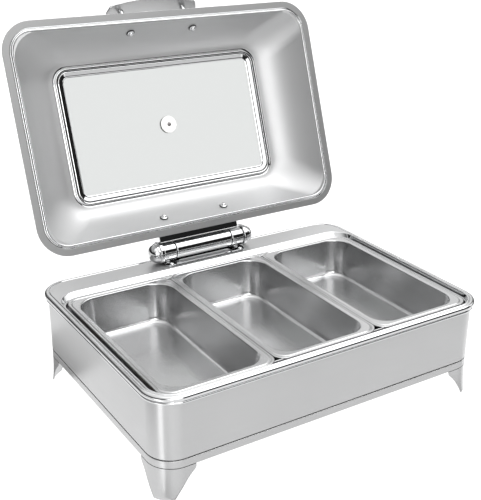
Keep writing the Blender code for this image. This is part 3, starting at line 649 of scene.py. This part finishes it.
# ---- Controls on the rear of the skirt ----
def make_controls(skirt):
    """Fascia with its dial, lamp and mains inlet."""
    low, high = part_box("control_plate")
    knob_x, _, control_z = KNOB_JOINT["pos_m"]
    lamp_low, lamp_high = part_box("pilot_lamp")
    inlet_low, inlet_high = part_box("power_inlet")
    lamp_x = (lamp_low.x + lamp_high.x) / 2
    inlet_x = (inlet_low.x + inlet_high.x) / 2
    outward = Matrix.Rotation(-math.pi / 2, 4, "X")

    def facing(x, y):
        return Matrix.Translation((x, y, control_z)) @ outward

    face_y = high.y
    knob_place = facing(knob_x, KNOB_JOINT["pos_m"][1])
    holes = [
        [(knob_x + x, control_z + y) for x, y in round_hole(0.0042)],
        [(lamp_x + x, control_z + y) for x, y in round_hole(0.0055)],
        [(inlet_x + x, control_z + y) for x, y in flat_ring(0.01425, 0.01075, 0.001)],
    ]
    middle_x = (low.x + high.x) / 2
    outline = [(middle_x + x, control_z + y)
               for x, y in flat_ring((high.x - low.x) / 2, (high.z - low.z) / 2, 0.005)]
    plate_place = (Matrix.Translation((0.0, (low.y + high.y) / 2, 0.0))
                   @ Matrix.Rotation(math.pi / 2, 4, "X"))
    fascia = add_piece("control_fascia", plate_mesh(outline, holes, high.y - low.y),
                       "black_plastic", "base", "control_plate", plate_place)
    bevel(fascia, 0.0003, 2)

    cut(skirt, cutter("service_opening", box_mesh((0.112, 0.030, 0.040)),
                      Matrix.Translation((middle_x, low.y, control_z))))

    add_piece("dial", turned_mesh(
        [(0.0, 0.0152), (0.0060, 0.0154), (0.0122, 0.0160), *arc((0.0126, 0.0145), 0.0015, 90, 5, 5),
         (0.0150, 0.0040), *arc((0.0166, 0.0014), 0.0014, 120, 0, 5), (0.0180, 0.0),
         (0.0030, 0.0), (0.0030, -0.0028), (0.0, -0.0028)], 72),
        "black_plastic", "knob", "control_knob", knob_place)
    ribs = 24
    for rib in range(ribs):
        angle = math.tau * rib / ribs
        spot = Matrix.Rotation(angle, 4, "Z") @ Matrix.Translation((0.0150, 0.0, 0.0085))
        add_rib(f"dial_rib_{rib:02d}", knob_place @ spot)
    pointer = add_piece("dial_pointer", plate_mesh(flat_ring(0.0007, 0.00475, 0.0006), [], 0.0005),
                        "white_plastic", "knob", None,
                        knob_place @ Matrix.Rotation(DIAL_START, 4, "Z")
                        @ Matrix.Translation((0.0, 0.0072, 0.0156)))
    bevel(pointer, 0.0001, 2)

    marks = 11
    for mark in range(marks):
        angle = DIAL_START - DIAL_SWEEP * mark / (marks - 1)
        spot = Matrix.Rotation(angle, 4, "Z") @ Matrix.Translation((0.0, 0.0212, 0.0))
        tall = 0.0030 if mark % 5 == 0 else 0.0018
        add_piece(f"scale_mark_{mark:02d}",
                  plate_mesh(flat_ring(0.0003, tall / 2, 0.00028), [], 0.0003),
                  "white_plastic", "base", None, facing(knob_x, face_y + 0.0001) @ spot)

    lens = [(0.0, 0.0032), (0.0012, 0.0032), (0.0018, 0.0029), (0.0024, 0.0031), (0.0032, 0.0027),
            (0.0038, 0.0026), (0.0052, 0.0016), (0.0056, 0.0009), (0.0066, 0.0008), (0.0068, 0.0),
            (0.0050, 0.0), (0.0050, -0.0150), (0.0, -0.0150)]
    add_turned("lamp_lens", lens, 40, "lens", "base", "pilot_lamp", facing(lamp_x, face_y + GAP))

    depth = inlet_high.y - inlet_low.y
    inlet = add_piece("inlet_socket_body", box_mesh(tuple(inlet_high - inlet_low)),
                      "black_plastic", "base", "power_inlet",
                      Matrix.Translation((inlet_low + inlet_high) / 2))
    recess = plate_mesh([(-0.0120, -0.00825), (0.0120, -0.00825), (0.0120, 0.0035),
                         (0.0075, 0.00825), (-0.0075, 0.00825), (-0.0120, 0.0035)], [], 0.018)
    cut(inlet, cutter("inlet_recess", recess,
                      Matrix.Translation((inlet_x, inlet_high.y, control_z))
                      @ Matrix.Rotation(math.pi / 2, 4, "X")))
    bevel(inlet, 0.0004, 2)
    for label, x, z in (("live", -0.0070, -0.0015), ("neutral", 0.0070, -0.0015),
                        ("earth", 0.0, 0.0030)):
        pin = add_piece(f"inlet_pin_{label}",
                        plate_mesh(flat_ring(0.0010, 0.00425, 0.0007), [], 0.0040), "polished",
                        "base", None, Matrix.Translation((inlet_x + x, inlet_high.y - depth / 4,
                                                          control_z + z)))
        bevel(pin, 0.0004, 2)
    screw_x, screw_up = 0.0585, 0.0205
    for side in (-1, 1):
        for level in (-1, 1):
            spot = facing(middle_x + side * screw_x, face_y) @ Matrix.Translation(
                (0.0, level * screw_up, 0.0))
            add_screw(f"fascia_screw_{'lr'[side > 0]}{'bt'[level > 0]}", spot, "base", 0.0026)


def add_rib(name, place):
    end, radius = 0.00475, 0.0006
    profile = [(0.0, end), (0.7 * radius, end - 0.0002), (radius, end - 0.0006),
               (radius, 0.0006 - end), (0.7 * radius, 0.0002 - end), (0.0, -end)]
    add_piece(name, turned_mesh(profile, 12), "black_plastic", "knob", None, place)


def add_screw(name, place, body, radius, stands_for=None):
    """Domed screw head with a cross recess."""
    head = add_piece(name, turned_mesh([(0.0, 0.62 * radius), (0.35 * radius, 0.58 * radius),
                                        (0.7 * radius, 0.42 * radius),
                                        (0.93 * radius, 0.18 * radius), (radius, 0.0),
                                        (0.0, 0.0)], 32), "polished", body, stands_for, place)
    for label, size in (("a", (1.3, 0.24, 0.5)), ("b", (0.24, 1.3, 0.5))):
        tool = cutter(f"{name}_slot_{label}",
                      box_mesh(tuple(radius * s for s in size), (0.0, 0.0, 0.6 * radius)), place)
        cut(head, tool)
    even_normals(head)


# ---- Hinge ----
def make_hinge_foot():
    """Polished foot plate with an open middle and two saddles under the fixed sleeves."""
    low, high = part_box("hinge_base")
    middle_y = (low.y + high.y) / 2 - MIDDLE_Y
    plate_z = low.z + 0.0013
    outline = flat_ring(high.x, (high.y - low.y) / 2, 0.009)
    slot = flat_ring(0.0500, 0.0062, 0.0061, -0.0090)
    plate = add_piece("hinge_foot", plate_mesh(outline, [slot], 0.0026), "polished", "base",
                      "hinge_base", BASE_PLACE @ Matrix.Translation((0.0, middle_y, plate_z)))
    saddle_x = (BARREL_HALF + SLEEVE_END) / 2 + GAP
    for label, side in SIDES:
        tool = cutter(f"saddle_{label}", box_mesh((0.0215, 0.0240, 0.0060)),
                      BASE_PLACE @ Matrix.Translation((side * saddle_x, HINGE_Y,
                                                       plate_z + 0.0032)))
        cut(plate, tool, "UNION")
    bed = turned_mesh([(0.0, 0.15), (BARREL_RADIUS + GAP, 0.15), (BARREL_RADIUS + GAP, -0.15),
                       (0.0, -0.15)], 64)
    cut(plate, cutter("barrel_bed", bed, BASE_PLACE @ Matrix.Translation((0.0, HINGE_Y, HINGE_Z))
                      @ Matrix.Rotation(math.pi / 2, 4, "Y")))
    bevel(plate, 0.0006, 3)
    for label, side in SIDES:
        low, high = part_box(f"hinge_base_screw_{label}")
        centre = (low + high) / 2
        place = Matrix.Translation((centre.x, centre.y, low.z))
        add_screw(f"foot_screw_{label}", place, "base", 0.0036, f"hinge_base_screw_{label}")


def make_hinge_barrel():
    """Shaft, turning tube, fixed sleeves and stepped domed caps, all mirror polished."""
    bore = 0.0059
    edge = 0.0014

    def tube(start, end):
        outer = [(bore, end), *arc((BARREL_RADIUS - edge, end - edge), edge, 90, 0, 4),
                 *arc((BARREL_RADIUS - edge, start + edge), edge, 0, -90, 4), (bore, start)]
        return outer + [outer[0]]

    axis = BASE_PLACE @ Matrix.Translation((0.0, HINGE_Y, HINGE_Z))
    along_x = axis @ Matrix.Rotation(math.pi / 2, 4, "Y")
    shaft_end = 0.0755
    shaft = [(0.0, shaft_end), (0.0051, shaft_end), (0.0055, shaft_end - 0.0004),
             (0.0055, 0.0004 - shaft_end), (0.0051, -shaft_end), (0.0, -shaft_end)]
    add_turned("hinge_pin", shaft, 40, "polished", "base", "hinge_shaft", along_x)
    add_turned("turning_tube", tube(GAP - BARREL_HALF, BARREL_HALF - GAP), 72, "polished", "lid",
               "hinge_barrel", LID_PLACE @ Matrix.Rotation(math.pi / 2, 4, "Y"))
    flange = SLEEVE_END + GAP
    cap = [(0.0, CAP_END)]
    for i in range(1, 13):
        angle = math.radians(80 * i / 12)
        cap.append((0.0148 * math.sin(angle), 0.0872 + 0.0108 * math.cos(angle)))
    cap += [(0.0150, 0.0874), (0.0157, 0.0870), (0.0161, 0.0862), (0.0161, 0.0842),
            (0.0164, 0.0834), (0.0172, 0.0832), *arc((CAP_RADIUS - 0.0011, 0.0820), 0.0011, 80, 0, 4),
            *arc((CAP_RADIUS - 0.0011, flange + 0.0011), 0.0011, 0, -90, 4), (0.0, flange)]
    for label, side in SIDES:
        out = axis @ Matrix.Rotation(side * math.pi / 2, 4, "Y")
        add_turned(f"fixed_sleeve_{label}", tube(BARREL_HALF + 2 * GAP, SLEEVE_END), 72,
                   "polished", "base", f"hinge_sleeve_{label}", out)
        add_turned(f"end_cap_{label}", cap, 72, "polished", "base", f"hinge_cap_{label}", out)


# ---- Lid ----
def dome_rise(share):
    return DOME_HEIGHT * (1.0 - (1.0 - share) ** DOME_POWER)


def wall_at(rise):
    """Half depth of the dome's inner face at a height, and its outward slope from level."""
    share = 1.0 - (1.0 - rise / DOME_HEIGHT) ** (1.0 / DOME_POWER)
    run = LID_WALL_Y - WINDOW_Y
    climb = DOME_HEIGHT * DOME_POWER * (1.0 - share) ** (DOME_POWER - 1.0)
    return LID_WALL_Y - run * share, math.atan2(run, climb)


def lid_station(half_x, half_y, rise, radius, reach=0.0):
    middle = LID_MID_Y - HINGE_Y
    return half_x, middle - half_y, middle + half_y, LID_Z + rise - HINGE_Z, radius, reach


def make_lid_shell():
    """Hemmed flat flange, a fine raised bead, the dome, and the bead round the window."""
    def flange(inset, rise, reach=0.0):
        return lid_station(LID_X - inset, LID_HALF_Y - inset, rise, LID_RADIUS - inset, reach)

    stations = [flange(0.0012, 0.0024), flange(0.0, 0.0018, 0.0006), flange(0.0, 0.0, 0.0008),
                flange(0.0108, 0.0, 0.0004), flange(0.0122, 0.0016, 0.0005),
                flange(0.0134, 0.0010, 0.0003)]
    flat_end = len(softened(stations)) - 1
    stations += [flange(*point) for point in arc((0.0156, 0.0008), 0.0020, 205, 340, 8)]
    steps = 22
    for i in range(steps + 1):
        share = 1.0 - math.cos(math.pi / 2 * i / steps)
        share = 0.5 * share + 0.5 * i / steps
        stations.append(lid_station(
            LID_WALL_X + (WINDOW_X + 0.002 - LID_WALL_X) * share,
            LID_WALL_Y + (WINDOW_Y + 0.002 - LID_WALL_Y) * share,
            dome_rise(share), 0.043 - 0.017 * share + 0.012 * math.sin(math.pi * share)))
    dome_end = len(softened(stations))
    for inset, rise, reach in ((0.0002, 0.0578, 0.0003), (0.0008, 0.0556, 0.0008),
                               (0.0028, 0.0543, 0.0012), (0.0056, 0.0549, 0.0010),
                               (0.0066, 0.0602, 0.0)):
        stations.append(lid_station(WINDOW_X - inset, WINDOW_Y - inset, rise, 0.025 - inset,
                                    reach))
    profile = softened(stations)
    bm = loft([ring(*station) for station in profile])
    bead_end = next(i for i, station in enumerate(profile) if station[0] < LID_WALL_X + 0.00001)

    # Look 2 on the flat flange is the darker copy of the pressed satin: painted shade.
    def look_of_row(row):
        if row < flat_end - 6:
            return 2
        return int(row < bead_end or row >= dome_end - 1)

    paint_rows(bm, look_of_row)
    shell = add_piece("lid_dome", bm, ("satin_press", "polished", "satin_flange"), "lid",
                      "lid_shell", LID_PLACE)
    thicken(shell, SHEET, 1.0)


def make_window():
    """Pane in a black seal behind a polished trim, clamped by an outer frame."""
    hole_x = WINDOW_X - 0.0066
    hole_y = WINDOW_Y - 0.0066

    def seat(inset, rise, reach=0.0):
        return lid_station(hole_x - inset, hole_y - inset, rise, 0.0184 - inset, reach)

    def add_loop(name, stations, look, stands_for):
        bm = loft([ring(*station[:5]) for station in stations], looped=True)
        bmesh.ops.recalc_face_normals(bm, faces=bm.faces)
        even_normals(add_piece(name, bm, look, "lid", stands_for, LID_PLACE))

    trim = [seat(GAP, 0.0560), seat(0.0012, 0.0557, 0.0006), seat(0.0074, 0.0576, 0.0014),
            seat(0.0086, 0.0574, 0.0005), seat(0.0098, 0.0581, 0.0004), seat(0.0094, 0.0586, 0.0002),
            seat(GAP, 0.0586)]
    add_loop("window_trim", softened(trim), "polished", None)
    seal = [seat(0.0006, 0.0588), seat(0.0006, 0.0632), seat(0.0030, 0.0632),
            seat(0.0030, 0.0592), seat(0.0059, 0.0592), seat(0.0059, 0.0588)]
    add_loop("window_seal", seal, "rubber", "window_gasket")
    clamp = [seat(-0.0100, 0.0588), seat(-0.0100, 0.0654, 0.0012),
             seat(0.0062, 0.0654, 0.0006), seat(0.0062, 0.0638, 0.0003),
             seat(-0.0086, 0.0638, 0.0004), seat(-0.0086, 0.0588)]
    add_loop("clamping_frame", softened(clamp), "polished", "window_frame")
    edge = 0.0030 + GAP
    pane_rise = 0.0614
    pane = add_piece("window_pane",
                     plate_mesh(flat_ring(hole_x - edge, hole_y - edge, 0.015),
                                [round_hole(0.0034)], 0.0038),
                     "glass", "lid", "window_glass",
                     LID_PLACE @ Matrix.Translation((0.0, LID_MID_Y - HINGE_Y,
                                                     LID_Z - HINGE_Z + pane_rise)))
    bevel(pane, 0.0003, 2)
    vent = LID_PLACE @ Matrix.Translation((0.0, LID_MID_Y - HINGE_Y, LID_Z - HINGE_Z))
    inner = [(0.0034, 0.0590), (0.0130, 0.0590), *arc((0.0135, 0.0578), 0.0010, 90, -70, 6),
             (0.0125, 0.0563), (0.0090, 0.0559), (0.0060, 0.0557), (0.0034, 0.0557),
             (0.0034, 0.0590)]
    add_turned("vent_washer_inner", inner, 56, "white_plastic", "lid", "vent_disc_inner", vent)
    outer = [(0.0034, 0.0660), (0.0120, 0.0657), *arc((0.0137, 0.0644), 0.0008, 70, -90, 5),
             (0.0034, 0.0636), (0.0034, 0.0660)]
    add_turned("vent_washer_outer", outer, 56, "white_plastic", "lid", "vent_disc_outer", vent)
    rivet = [(0.0, 0.0678), (0.0022, 0.0677), (0.0040, 0.0672), (0.0046, 0.0664),
             (0.0028, 0.0664), (0.0028, 0.0556), (0.0029, 0.0553), (0.0022, 0.0548),
             (0.0010, 0.0546), (0.0, 0.0546)]
    add_turned("vent_pin", rivet, 32, "dark_steel", "lid", "vent_rivet", vent)


def wall_place(x, side_y):
    """Frame on the dome's inner face at a fixing, its Z straight out of the wall."""
    half_depth, slope = wall_at(FIXING_RISE)
    return (LID_PLACE @ Matrix.Translation((x, LID_MID_Y + side_y * half_depth - HINGE_Y,
                                            LID_Z + FIXING_RISE - HINGE_Z))
            @ Matrix.Rotation(-side_y * (math.pi / 2 - slope), 4, "X"))


def add_cap_nut(name, place, stands_for):
    """Small domed nut with a washer skirt, on the dome's inner face."""
    profile = [(0.0, -0.0062), *[(0.0040 * math.sin(math.radians(a)),
                                  -0.0030 - 0.0032 * math.cos(math.radians(a)))
                                 for a in (15, 30, 45, 60, 75, 88)],
               (0.0042, -0.0026), (0.0054, -0.0022), (0.0058, -0.0018), (0.0058, -0.0013),
               (0.0028, -0.0013), (0.0028, -0.0028), (0.0, -0.0028)]
    add_turned(name, profile, 40, "polished", "lid", stands_for, place)
    washer = [(0.0028, -0.0010), (0.0066, -0.0010), (0.0070, -0.0007), (0.0070, -0.0003),
              (0.0028, -0.0003), (0.0028, -0.0010)]
    add_turned(f"{name}_washer", washer, 40, "rubber", "lid", None, place)


def make_handle():
    """Bowed strap with rounded edges on two turned posts, outside the lid's front wall."""
    post_out = 0.0478
    for label, side in SIDES:
        place = wall_place(side * FIXING_X, -1)
        add_cap_nut(f"handle_cap_nut_{label}", place, f"handle_{label}_nut")
        post = [(0.0, post_out), (0.0042, post_out), (0.0048, post_out - 0.0006),
                (0.0050, post_out - 0.0024), (0.0046, post_out - 0.0050),
                (0.0044, 0.0240), (0.0048, 0.0110), (0.0062, 0.0060), (0.0078, 0.0036),
                (0.0080, 0.0026), (0.0024, 0.0026), (0.0024, -0.0028), (0.0, -0.0028)]
        add_turned(f"handle_pillar_{label}", post, 48, "polished", "lid",
                   f"handle_post_{label}", place)
    reach = 0.083
    bow = 0.012
    strap_in = post_out + GAP
    thick = 0.0034
    steps = 40
    fixing = 1 - (FIXING_X / reach) ** 2
    half_wide = 0.015
    taper = 0.010
    edge = 0.0012
    sections = []
    for i in range(steps + 1):
        x = reach * (2 * i / steps - 1)
        near = strap_in + bow * (1 - (x / reach) ** 2 - fixing) + edge
        past = max(0.0, (abs(x) - reach + taper) / taper)
        wide = max(half_wide * math.sqrt(max(0.0, 1 - past ** 2)), edge / 2)
        section = []
        for first, sx, sy in ((0, 1, 1), (90, -1, 1), (180, -1, -1), (270, 1, -1)):
            cx = sx * max(wide - edge, 0.0)
            cy = near + thick / 2 + sy * (thick / 2 - edge)
            section += [(x, -along, up) for along, up
                        in arc((cx, cy), min(edge, wide), first, first + 90, 4)]
        sections.append(section)
    bm = loft(sections, capped=True, start_capped=True)
    bmesh.ops.recalc_face_normals(bm, faces=bm.faces)
    strap = add_piece("handle_strap", bm, "satin_press", "lid", "lid_handle", wall_place(0.0, -1))
    even_normals(strap)


def make_hinge_leaf():
    """Bent polished plate from the turning tube to the dome's rear wall, held by cap nuts."""
    half_depth, slope = wall_at(FIXING_RISE)
    thick = 0.0024
    stand_off = SHEET + GAP + 0.0010 + thick / 2
    wall_y = LID_MID_Y + half_depth - HINGE_Y
    wall_z = LID_Z + FIXING_RISE - HINGE_Z
    out = Vector((math.cos(slope), math.sin(slope)))
    up = Vector((-math.sin(slope), math.cos(slope)))
    centre = Vector((wall_y, wall_z)) + out * stand_off
    bend = centre - up * (centre.y / up.y)
    top = centre + up * 0.0095
    start = Vector((-BARREL_RADIUS - GAP, 0.0))
    inner = [start + Vector((0.0, thick / 2)), bend + Vector((0.0028, thick / 2)),
             bend + up * 0.0028 + out * thick / 2, top + out * thick / 2]
    outer = [top - out * thick / 2, bend - out * thick / 2 + up * 0.0004,
             bend + Vector((-0.0004, -thick / 2)), start - Vector((0.0, thick / 2))]
    outline = [(point.x, point.y) for point in inner + outer]
    turn = Matrix(((0, 0, 1, 0), (1, 0, 0, 0), (0, 1, 0, 0), (0, 0, 0, 1)))
    leaf = add_piece("leaf_plate", plate_mesh(outline, [], 2 * (SLEEVE_END - 0.0015)),
                     "polished", "lid", "hinge_leaf", LID_PLACE @ turn)
    bevel(leaf, 0.0006, 3)
    for label, side in SIDES:
        place = wall_place(side * FIXING_X, 1)
        add_cap_nut(f"leaf_cap_nut_{label}", place, f"leaf_{label}_nut")
        head_z = stand_off + thick / 2 + GAP
        add_screw(f"leaf_screw_head_{label}", place @ Matrix.Translation((0.0, 0.0, head_z)),
                  "lid", 0.0044, f"leaf_{label}_screw")


# ---- Carried-over pieces ----
def finish_hidden_nodes():
    """The heater parts keep their plain shapes, inside the base, with their own finishes."""
    for node, look in (("heating_plate", "dark_steel"), ("heating_element", "dark_steel"),
                       ("heat_shield", "satin_press"), ("thermostat_body", "black_plastic")):
        mesh = frame["nodes"][node].data
        mesh.materials.clear()
        mesh.materials.append(materials[look])


# ---- Studio ----
# Each soft panel of the room: direction, the cosines where it begins and is full, and its light.
ROOM_LIGHT = (
    ((0.0, 0.0, 1.0), -2.0, -1.5, 0.18),
    ((-0.27, -0.93, 0.28), 0.85, 0.97, 1.8),
    ((0.94, -0.30, 0.22), 0.84, 0.97, 1.3),
    ((0.40, -0.58, 0.71), 0.74, 0.96, 1.2),
    ((0.45, -0.10, 0.89), 0.86, 0.97, 1.5),
    ((0.50, 0.76, 0.44), 0.84, 0.97, 0.8),
    ((0.0, 0.0, 1.0), 0.35, 0.80, 0.9),
)


FLOOR_RADIUS = 14.0
FLAG_DISTANCE = 5.0
FLAG_SOLE = 0.02
FLAG_SHADE = 0.02
CARD_HEIGHT = 0.0015

# Dark cards: where each begins and ends, in degrees from +X, and its height.
FLAGS = (
    ("front_flag", -84, -18, 3.4),
    ("right_flag", -18, 30, 0.8),
    ("back_flag", 30, 95, 0.9),
    ("left_flag", 95, 222, 1.6),
)

# Floor cards: corners in plan, and glow.
FLOOR_CARDS = (
    ("left_card", ((-2.2, -0.30), (-0.45, -0.30), (-0.45, 2.2), (-2.2, 2.2)), 0.85),
    ("front_card", ((-0.50, -0.85), (2.5, -0.85), (2.5, -0.30), (-0.50, -0.30)), 1.12),
    ("far_front_card", ((-1.2, -3.5), (2.5, -3.5), (2.5, -0.85), (-1.2, -0.85)), 0.8),
    ("right_card", ((0.85, -0.30), (4.5, -0.30), (4.5, 4.5), (0.85, 1.2)), 0.03),
    ("back_card", ((-1.5, 1.2), (0.85, 1.2), (4.5, 4.5), (-1.5, 4.5)), 0.05),
    ("foot_card", ((-0.35, 0.09), (-0.276, 0.09), (-0.276, 0.25), (-0.35, 0.25)), 0.4),
    ("toe_card", ((-0.31, -0.316), (0.36, -0.316), (0.36, -0.272), (-0.31, -0.272)), 0.8),
)


def flat_material(name, colour, emission):
    material, shader = new_material(name, colour, 0.9, 0.0)
    set_inputs(shader, {"Specular IOR Level": 0.0, "Emission Color": (1.0, 1.0, 1.0, 1.0),
                        "Emission Strength": emission})
    return material


def make_floor():
    bm = bmesh.new()
    bmesh.ops.create_circle(bm, cap_ends=True, radius=FLOOR_RADIUS, segments=96)
    floor = linked_object("floor", bm)
    floor.data.materials.append(flat_material("pale_floor", (0.12, 0.12, 0.12), 1.15))


def curved_wall(name, first, last, low, high, distance, steps):
    """Upright wall round the table; angles in degrees from +X."""
    bm = bmesh.new()
    columns = []
    for along, up in arc((0.0, 0.0), distance, first, last, steps):
        columns.append([bm.verts.new((along, up, z)) for z in (low, high)])
    for one, two in zip(columns, columns[1:]):
        bm.faces.new((one[0], two[0], two[1], one[1]))
    return linked_object(name, bm)


def make_backdrop():
    """Pale surround behind the floor's edge, seen by the camera and through the glass."""
    wall = curved_wall("backdrop", 0, 360, -0.5, 30.0, FLOOR_RADIUS - 0.5, 96)
    wall.data.materials.append(flat_material("pale_backdrop", (0.0, 0.0, 0.0), 1.2))
    wall.visible_diffuse = False
    wall.visible_glossy = False
    wall.visible_shadow = False


def only_reflect(card):
    """Set a card so that it is seen in reflections alone."""
    card.visible_camera = False
    card.visible_diffuse = False
    card.visible_shadow = False
    card.visible_transmission = False


def make_flag(name, first, last, height):
    """Curved dark card round the table."""
    flag = curved_wall(name, first, last, FLAG_SOLE, height, FLAG_DISTANCE, 40)
    flag.data.materials.append(flat_material(name, (FLAG_SHADE,) * 3, 0.0))
    only_reflect(flag)


def make_floor_card(name, corners, glow, height=CARD_HEIGHT):
    """Card lying just above the floor."""
    bm = bmesh.new()
    face = bm.faces.new([bm.verts.new((x, y, height)) for x, y in corners])
    if face.normal.z < 0:
        face.normal_flip()
    card = linked_object(name, bm)
    card.data.materials.append(flat_material(name, (0.0, 0.0, 0.0), glow))
    only_reflect(card)


def make_softbox(name, place, width, height, power):
    light = bpy.data.lights.new(name, "AREA")
    light.shape = "RECTANGLE"
    light.size = width
    light.size_y = height
    light.energy = power
    lamp = bpy.data.objects.new(name, light)
    lamp.location = place
    aim = Vector((0.0, MIDDLE_Y, 0.2))
    lamp.rotation_euler = (aim - Vector(place)).to_track_quat("-Z", "Y").to_euler()
    lamp.visible_camera = False
    bpy.context.scene.collection.objects.link(lamp)


def glow_towards(tree, way, direction, first, full, amount):
    """Light that rises smoothly as a direction turns towards the middle of a soft panel."""
    facing = tree.nodes.new("ShaderNodeVectorMath")
    facing.operation = "DOT_PRODUCT"
    facing.inputs[1].default_value = Vector(direction).normalized()
    tree.links.new(way, facing.inputs[0])
    ease = tree.nodes.new("ShaderNodeMapRange")
    ease.interpolation_type = "SMOOTHSTEP"
    set_inputs(ease, {"From Min": first, "From Max": full, "To Min": 0.0, "To Max": amount})
    tree.links.new(facing.outputs["Value"], ease.inputs["Value"])
    return ease.outputs["Result"]


def make_world():
    """Soft room light: a dim level all round, five soft panels and a broad glow overhead."""
    world = bpy.data.worlds.new("studio")
    bpy.context.scene.world = world
    world.use_nodes = True
    tree = world.node_tree
    way = tree.nodes.new("ShaderNodeTexCoord").outputs["Generated"]
    total = None
    for direction, first, full, amount in ROOM_LIGHT:
        glow = glow_towards(tree, way, direction, first, full, amount)
        total = glow if total is None else add_values(tree, total, glow)
    tree.nodes["Background"].inputs["Color"].default_value = (1.0, 1.0, 1.0, 1.0)
    tree.links.new(total, tree.nodes["Background"].inputs["Strength"])


def make_studio():
    scene = bpy.context.scene
    scene.view_settings.view_transform = "Standard"
    make_world()
    make_floor()
    make_backdrop()
    for flag in FLAGS:
        make_flag(*flag)
    for card in FLOOR_CARDS:
        make_floor_card(*card)
    corner = Vector((-BODY_X, MIDDLE_Y - BODY_Y))
    beam = [corner + 1.5 * Vector((math.cos(math.radians(a)), math.sin(math.radians(a))))
            for a in (-172, -152)]
    make_floor_card("corner_card", (corner, *beam), 2.2, 2 * CARD_HEIGHT)
    make_softbox("front_left_strip", (-1.35, -2.6, 1.15), 0.45, 1.3, 8.0)
    make_softbox("overhead_softbox", (0.0, -0.3, 2.8), 2.6, 1.6, 8.0)


def make_camera():
    camera = bpy.data.objects.new("camera", bpy.data.cameras.new("camera"))
    camera.location = CAMERA_PLACE
    heading = Euler((math.radians(90.0 - CAMERA_DOWN), 0.0, math.radians(-CAMERA_AZIMUTH)))
    camera.rotation_euler = (heading.to_matrix()
                             @ Matrix.Rotation(math.radians(CAMERA_ROLL), 3, "Z")).to_euler()
    camera.data.sensor_width = 36.0
    camera.data.lens = CAMERA_LENS
    camera.data.shift_x = CAMERA_SHIFT_X
    bpy.context.scene.collection.objects.link(camera)
    bpy.context.scene.camera = camera


# ---- Assembly ----
materials = make_materials()
make_rim_and_well()
skirt_piece = make_skirt()
make_low_band()
for front_back, depth_side in (("front", -1), ("rear", 1)):
    for left_right, width_side in SIDES:
        make_foot(f"{front_back}_{left_right}", width_side, depth_side)
for pan_side in ("left", "middle", "right"):
    make_food_pan(pan_side)
make_controls(skirt_piece)
make_hinge_foot()
make_hinge_barrel()
make_lid_shell()
make_window()
make_handle()
make_hinge_leaf()
finish_hidden_nodes()
make_studio()
make_camera()
